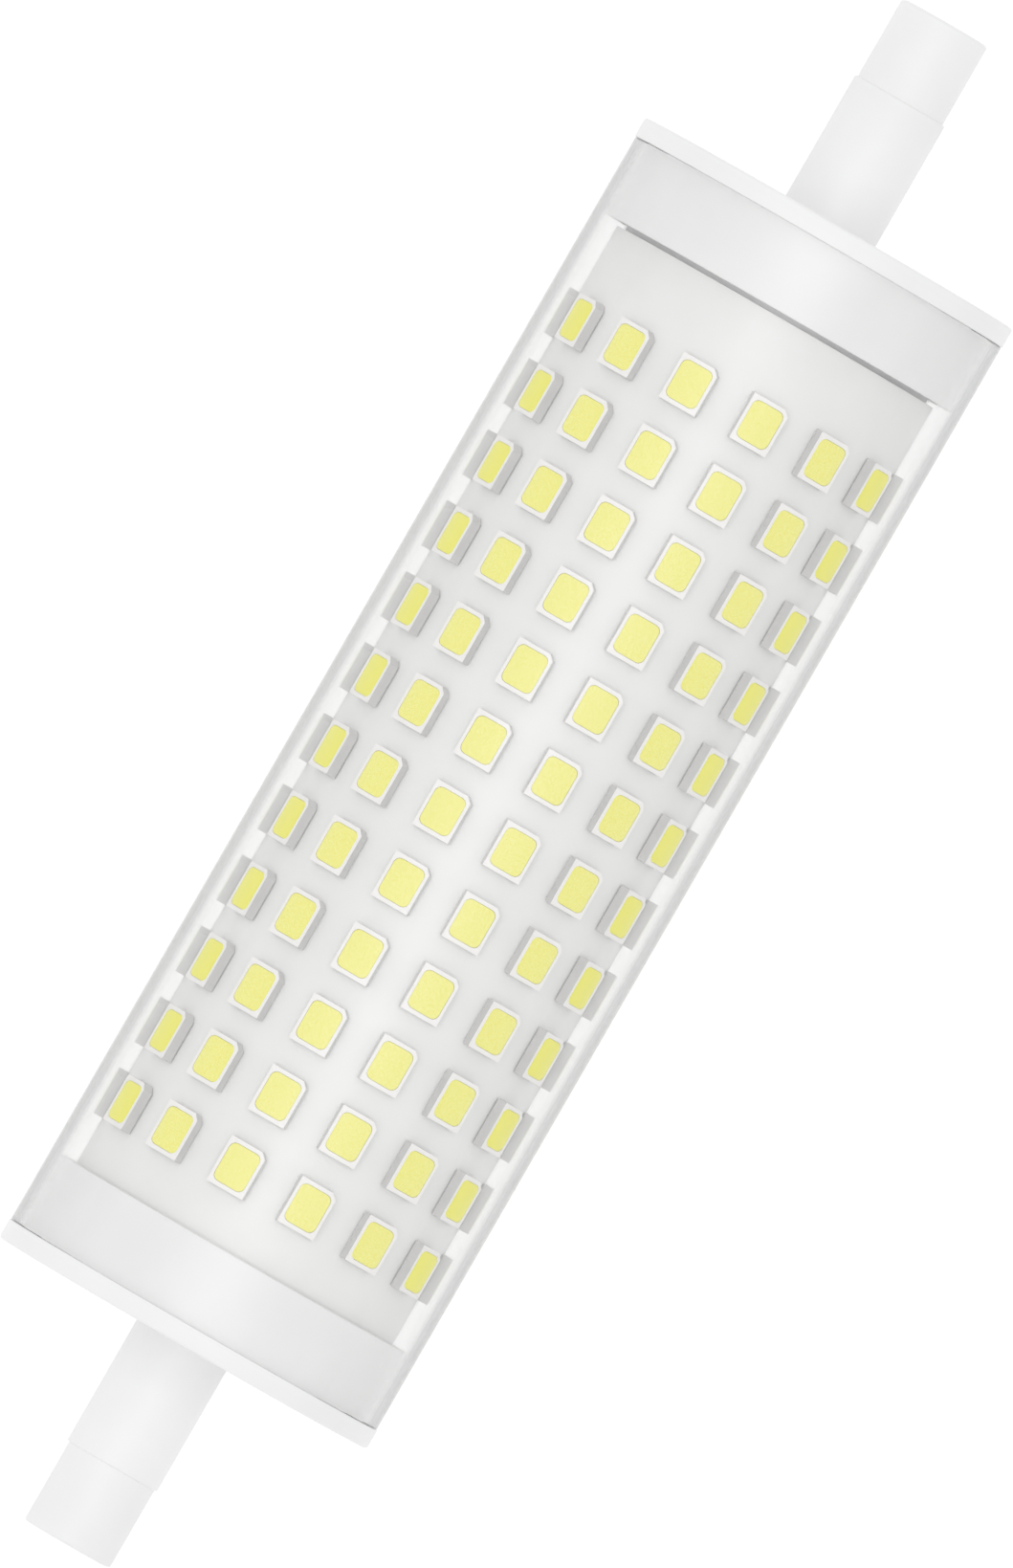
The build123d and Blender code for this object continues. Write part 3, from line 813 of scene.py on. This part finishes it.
class LAMP_OT_board(Operator):
    """Roll up the white board that carries the LEDs"""

    bl_idname = "lamp.board"
    bl_label = "Rolled board"

    def execute(self, context):
        sizes = context.scene.lamp_sizes
        low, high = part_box("led_board")
        radius = high.z
        column_turn = 2 * math.pi / sizes.led_columns
        seam = column_turn * (sizes.led_columns // 2)
        half_seam = math.asin(sizes.board_seam / 2 / radius)
        half_notch = math.asin(sizes.notch_width / 2 / radius)
        # The sheet runs from one side of the seam round to the other, with lines at both sides of the notch
        round_sheet = np.linspace(seam + half_seam - 2 * math.pi, seam - half_seam, sizes.round_steps)
        angle = np.union1d(round_sheet, [-math.pi - half_notch, -math.pi + half_notch])
        x = np.array([low.x, low.x + sizes.notch_reach, high.x])
        across, along = np.meshgrid(angle, x, indexing="ij")
        points = np.stack([along, -radius * np.sin(across), radius * np.cos(across)], axis=2).reshape(-1, 3)
        faces = grid_faces(len(angle), len(x), False, False)
        middle = ((angle[:-1] + angle[1:]) / 2)[:, None] * np.ones(len(x) - 1)
        first_band = (np.arange(len(x) - 1) == 0)[None, :]
        notched = (np.abs(middle + math.pi) < half_notch) & first_band
        faces = faces[~notched.ravel()]
        white = board_finish(context.scene.lamp_colours)
        piece = make_piece("rolled_led_board", points, [faces], white, ["led_board"])
        wall = piece.modifiers.new("Thickness", "SOLIDIFY")
        wall.thickness = sizes.board_thickness
        wall.offset = -1.0
        edge = piece.modifiers.new("Cut edges", "BEVEL")
        edge.width = sizes.board_edge
        edge.segments = 2
        edge.limit_method = "ANGLE"
        edge.angle_limit = math.radians(CUT_EDGE_TURN)
        return {"FINISHED"}


class LAMP_OT_leds(Operator):
    """Make the columns of LEDs, each with its housings and their phosphor"""

    bl_idname = "lamp.leds"
    bl_label = "LEDs"

    def execute(self, context):
        sizes = context.scene.lamp_sizes
        colours = context.scene.lamp_colours
        white = housing_finish(colours)
        yellow = phosphor_finish(colours)
        led = led_sizes(sizes)
        housing = housing_shape(sizes, led)
        fill = phosphor_shape(sizes, led)
        # Side walls of the housings, marked for painted shade
        wall_shade_marks = wall_shade_faces(housing, led)
        for column in range(sizes.led_columns):
            angle = 2 * math.pi * (column + 0.5) / sizes.led_columns
            number = f"{column + 1:02d}"
            points, faces = column_of(housing, led, angle)
            nodes = [f"led_housings_{number}"]
            piece = make_piece(
                f"led_column_{number}", points, faces, white, nodes, sharp_angle=25.0, wall_shade_marks=wall_shade_marks
            )
            points, faces = column_of(fill, led, angle)
            piece = make_piece(f"phosphor_column_{number}", points, faces, yellow, [f"led_phosphor_{number}"])
        return {"FINISHED"}


class LAMP_OT_driver(Operator):
    """Give the driver's board, parts and leads inside the lamp their finishes"""

    bl_idname = "lamp.driver"
    bl_label = "Driver"

    def execute(self, context):
        colours = context.scene.lamp_colours
        finishes = {
            "driver_board_green": mask_finish(colours),
            "chip_black": plain_finish("chip_black", colours.epoxy, (0.5, 0.65), 3.0e-6),
            "capacitor_sleeve": sleeve_finish(colours),
            "film_case": plain_finish("film_case", colours.film, (0.25, 0.4), 4.0e-6),
            "winding_varnish": winding_finish(colours),
            "fuse_case": plain_finish("fuse_case", colours.fuse, (0.35, 0.5), 3.0e-6),
            "lead_insulation": plain_finish("lead_insulation", colours.insulation, (0.4, 0.55), 3.0e-6),
            "contact_metal": bpy.data.materials["contact_metal"],
        }
        for node, finish in HIDDEN_FINISHES.items():
            for material_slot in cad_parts[node].material_slots:
                material_slot.material = finishes[finish]
        return {"FINISHED"}


def soft_lamp(name, place, size, power):
    """A square area lamp at a place, facing the pieces; it lights them but isn't mirrored in them."""
    light = bpy.data.lights.new(name, "AREA")
    light.shape = "SQUARE"
    light.size = size
    light.energy = power
    stand = bpy.data.objects.new(name, light)
    stand.location = place
    stand.visible_glossy = False
    stand.visible_transmission = False
    stand.rotation_euler = (-Vector(place)).to_track_quat("-Z", "Y").to_euler()
    bpy.context.scene.collection.objects.link(stand)


def seen_directly(tree):
    """1 for what the camera sees, also in a reflection or through the glass, and 0 for soft light."""
    path = tree.nodes.new("ShaderNodeLightPath")
    result = path.outputs["Is Camera Ray"]
    for other in ("Is Glossy Ray", "Is Transmission Ray"):
        either = tree.nodes.new("ShaderNodeMath")
        either.operation = "MAXIMUM"
        tree.links.new(result, either.inputs[0])
        tree.links.new(path.outputs[other], either.inputs[1])
        result = either.outputs["Value"]
    return result


def blend_values(tree, factor, low, high):
    """A value that goes from low to high with a factor."""
    spread = tree.nodes.new("ShaderNodeMapRange")
    spread.inputs["To Min"].default_value = low
    spread.inputs["To Max"].default_value = high
    tree.links.new(factor, spread.inputs["Value"])
    return spread.outputs["Result"]


class LAMP_OT_stage(Operator):
    """Set up the camera, the soft light and the white floor"""

    bl_idname = "lamp.stage"
    bl_label = "Stage"

    def execute(self, context):
        stage = context.scene.lamp_stage
        scene = context.scene
        scene.view_settings.view_transform = "Standard"

        camera_data = bpy.data.cameras.new("camera")
        camera_data.lens = stage.lens
        camera_data.sensor_width = 36.0
        camera_data.clip_end = 20.0
        camera = bpy.data.objects.new("camera", camera_data)
        distance = stage.picture_height * stage.lens / camera_data.sensor_width
        right = Vector((math.cos(stage.turn), math.sin(stage.turn), 0.0))
        up = Vector((-math.sin(stage.turn), math.cos(stage.turn), 0.0))
        camera.location = right * stage.aside - up * stage.below + Vector((0.0, 0.0, distance))
        camera.rotation_euler = (0.0, 0.0, stage.turn)
        scene.collection.objects.link(camera)
        scene.camera = camera

        world = bpy.data.worlds.new("surroundings")
        scene.world = world
        world.use_nodes = True
        background = world.node_tree.nodes["Background"]
        background.inputs["Color"].default_value = grey(1.0)
        tree = world.node_tree
        # White for what is seen directly, and brighter towards the zenith, for a soft sheen along the tube
        direction = tree.nodes.new("ShaderNodeSeparateXYZ")
        tree.links.new(tree.nodes.new("ShaderNodeTexCoord").outputs["Generated"], direction.inputs["Vector"])
        rise = tree.nodes.new("ShaderNodeMath")
        rise.operation = "POWER"
        rise.use_clamp = True
        rise.inputs[1].default_value = stage.zenith
        tree.links.new(direction.outputs["Z"], rise.inputs[0])
        mirrored = blend_values(tree, rise.outputs["Value"], 1.0, 1.0 + stage.sheen)
        strength = tree.nodes.new("ShaderNodeMix")
        strength.inputs["A"].default_value = stage.sky
        tree.links.new(seen_directly(tree), strength.inputs["Factor"])
        tree.links.new(mirrored, strength.inputs["B"])
        tree.links.new(strength.outputs["Result"], background.inputs["Strength"])

        soft_lamp("front_lamp", place=(0.0, 0.2, 2.2), size=1.6, power=stage.front)
        soft_lamp("key_lamp", place=(-0.9, 0.35, 0.9), size=0.7, power=stage.key)

        floor_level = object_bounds()[0].z
        mesh = bpy.data.meshes.new("floor")
        sides = ((-1, -1), (1, -1), (1, 1), (-1, 1))
        corners = [(x * stage.floor_reach, y * stage.floor_reach, floor_level) for x, y in sides]
        mesh.from_pydata(corners, [], [(0, 1, 2, 3)])
        floor = bpy.data.objects.new("floor", mesh)
        scene.collection.objects.link(floor)
        mesh.materials.append(self.floor_finish(stage))
        floor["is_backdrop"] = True
        return {"FINISHED"}

    def floor_finish(self, stage):
        """White floor: matt, so that it takes the shadow, with a glow of its own for the camera."""
        material = bpy.data.materials.new("floor_white")
        material.use_nodes = True
        tree = material.node_tree
        tree.nodes.clear()
        output = tree.nodes.new("ShaderNodeOutputMaterial")
        seen = seen_directly(tree)
        matt = tree.nodes.new("ShaderNodeBsdfDiffuse")
        tree.links.new(blend_values(tree, seen, stage.floor_return, stage.floor_colour), matt.inputs["Color"])
        glow = tree.nodes.new("ShaderNodeEmission")
        strength = blend_values(tree, seen, stage.floor_bounce, stage.floor_glow)
        tree.links.new(strength, glow.inputs["Strength"])
        both = tree.nodes.new("ShaderNodeAddShader")
        tree.links.new(matt.outputs["BSDF"], both.inputs[0])
        tree.links.new(glow.outputs["Emission"], both.inputs[1])
        tree.links.new(both.outputs["Shader"], output.inputs["Surface"])
        return material


STEPS = (
    LAMP_OT_stage,
    LAMP_OT_clear_tube,
    LAMP_OT_caps,
    LAMP_OT_contacts,
    LAMP_OT_board,
    LAMP_OT_leds,
    LAMP_OT_driver,
)


class LAMP_PT_sidebar(Panel):
    """Lists the steps that dress the lamp, and the sizes and colours they use"""

    bl_label = "Linear LED lamp"
    bl_idname = "LAMP_PT_sidebar"
    bl_space_type = "VIEW_3D"
    bl_region_type = "UI"
    bl_category = "Lamp"

    def draw(self, context):
        for step in STEPS:
            self.layout.operator(step.bl_idname)
        for group in (context.scene.lamp_sizes, context.scene.lamp_colours, context.scene.lamp_stage):
            box = self.layout.box()
            for name in group.__annotations__:
                box.prop(group, name)


GROUPS = {"lamp_sizes": LampSizes, "lamp_colours": LampColours, "lamp_stage": LampStage}


def register():
    """Makes the sizes, colours, steps and panel known to Blender."""
    for name, group in GROUPS.items():
        bpy.utils.register_class(group)
        setattr(bpy.types.Scene, name, PointerProperty(type=group))
    for step in (*STEPS, LAMP_PT_sidebar):
        bpy.utils.register_class(step)


def unregister():
    """Takes them away again."""
    for step in reversed((*STEPS, LAMP_PT_sidebar)):
        bpy.utils.unregister_class(step)
    for name, group in GROUPS.items():
        delattr(bpy.types.Scene, name)
        bpy.utils.unregister_class(group)


def main():
    """Dresses the lamp step by step."""
    register()
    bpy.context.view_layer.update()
    bpy.ops.lamp.stage()
    bpy.ops.lamp.clear_tube()
    bpy.ops.lamp.caps()
    bpy.ops.lamp.contacts()
    bpy.ops.lamp.board()
    bpy.ops.lamp.leds()
    bpy.ops.lamp.driver()


if __name__ == "__main__":
    main()
